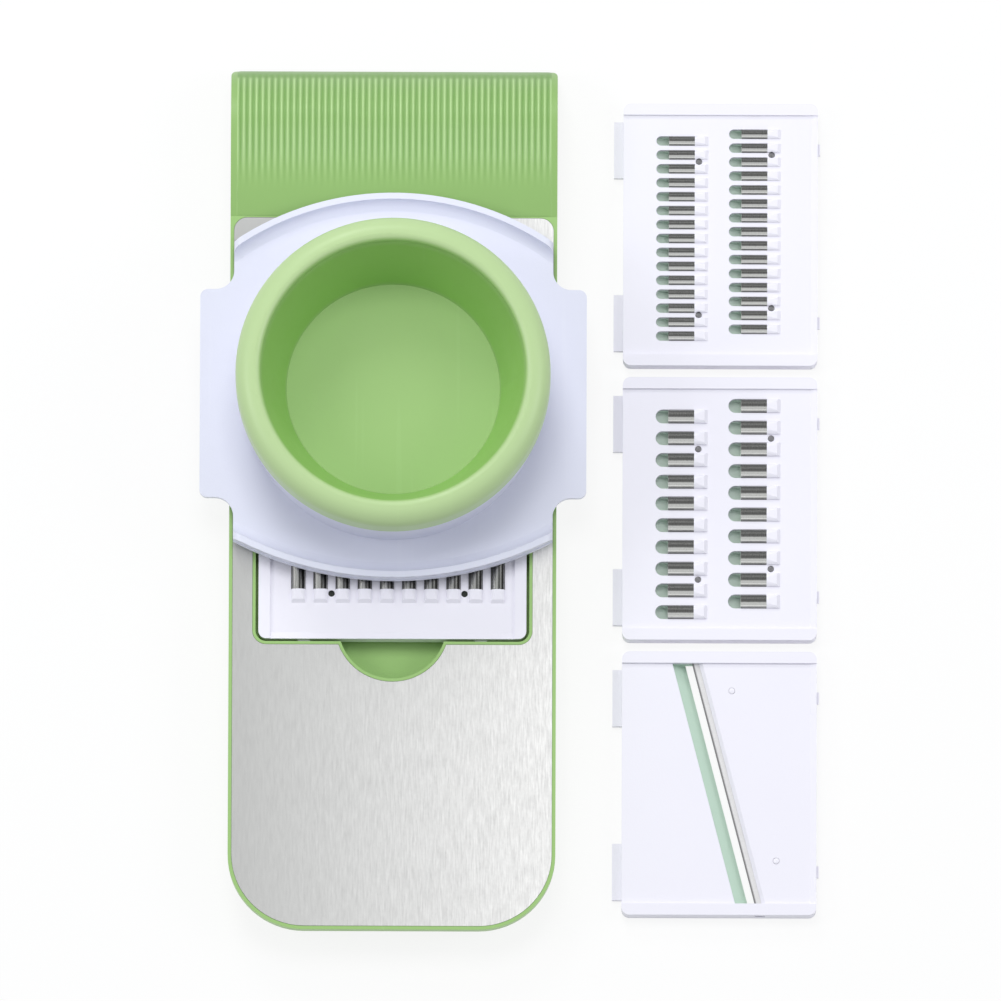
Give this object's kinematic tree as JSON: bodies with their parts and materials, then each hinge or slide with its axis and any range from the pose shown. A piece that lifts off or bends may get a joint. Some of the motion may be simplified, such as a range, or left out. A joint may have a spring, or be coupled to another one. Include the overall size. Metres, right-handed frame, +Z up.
{
  "type": "mandoline slicer",
  "caption": "Flat mandoline slicer with a steel deck, a grooved handle, a sliding food guard with a round pusher cup, and swappable grating and slicing inserts.",
  "frame": {"origin": "middle of the body's length and width, on the plane of its rubber foot where it stands", "axes": "+Z up, +Y along the deck towards the handle, +X to the right towards the loose inserts"},
  "size_m": [0.2351, 0.3349, 0.0724],
  "materials": {
    "green_plastic": "satin",
    "white_plastic": "satin",
    "insert_white": "satin",
    "carrier_green": "matte",
    "brushed_deck": "brushed along its length",
    "blade_steel": "ground and polished",
    "screw_steel": "turned",
    "foot_rubber": "matte"
  },
  "bodies": {
    "slicer": {"body_frame": "green_plastic", "deck_plate": "brushed_deck", "base_foot": "foot_rubber", "handle_shell": "green_plastic", "handle_foot": "foot_rubber", "handle_screws": "screw_steel", "insert_frame": "insert_white", "insert_carrier": "carrier_green", "insert_rear_blade": "blade_steel", "insert_front_blade": "blade_steel", "insert_rivets": "screw_steel"},
    "guard": {"guard_carriage": "white_plastic"},
    "pusher": {"pusher_cup": "green_plastic", "pusher_base": "white_plastic", "pusher_pins": "screw_steel"},
    "fine_insert": {"fine_frame": "insert_white", "fine_carrier": "carrier_green", "fine_rear_blade": "blade_steel", "fine_front_blade": "blade_steel", "fine_rivets": "screw_steel"},
    "coarse_insert": {"coarse_frame": "insert_white", "coarse_carrier": "carrier_green", "coarse_rear_blade": "blade_steel", "coarse_front_blade": "blade_steel", "coarse_rivets": "screw_steel"},
    "slicing_insert": {"slicer_frame": "insert_white", "slicer_carrier": "carrier_green", "slicer_blade": "blade_steel", "slicer_rivets": "screw_steel"}
  },
  "joints": [
    {"name": "guard_slide", "type": "slide", "parent": "slicer", "child": "guard", "axis": [0, 1, 0], "range_m": [-0.125, 0.004]},
    {"name": "pusher_lift", "type": "slide", "parent": "guard", "child": "pusher", "axis": [0, 0, 1], "range_m": [0, 0.045]},
    {"name": "fine_insert_lift", "type": "slide", "parent": "slicer", "child": "fine_insert", "axis": [0, 0, 1], "range_m": [0, 0.04]},
    {"name": "coarse_insert_lift", "type": "slide", "parent": "slicer", "child": "coarse_insert", "axis": [0, 0, 1], "range_m": [0, 0.04]},
    {"name": "slicing_insert_lift", "type": "slide", "parent": "slicer", "child": "slicing_insert", "axis": [0, 0, 1], "range_m": [0, 0.04]}
  ]
}
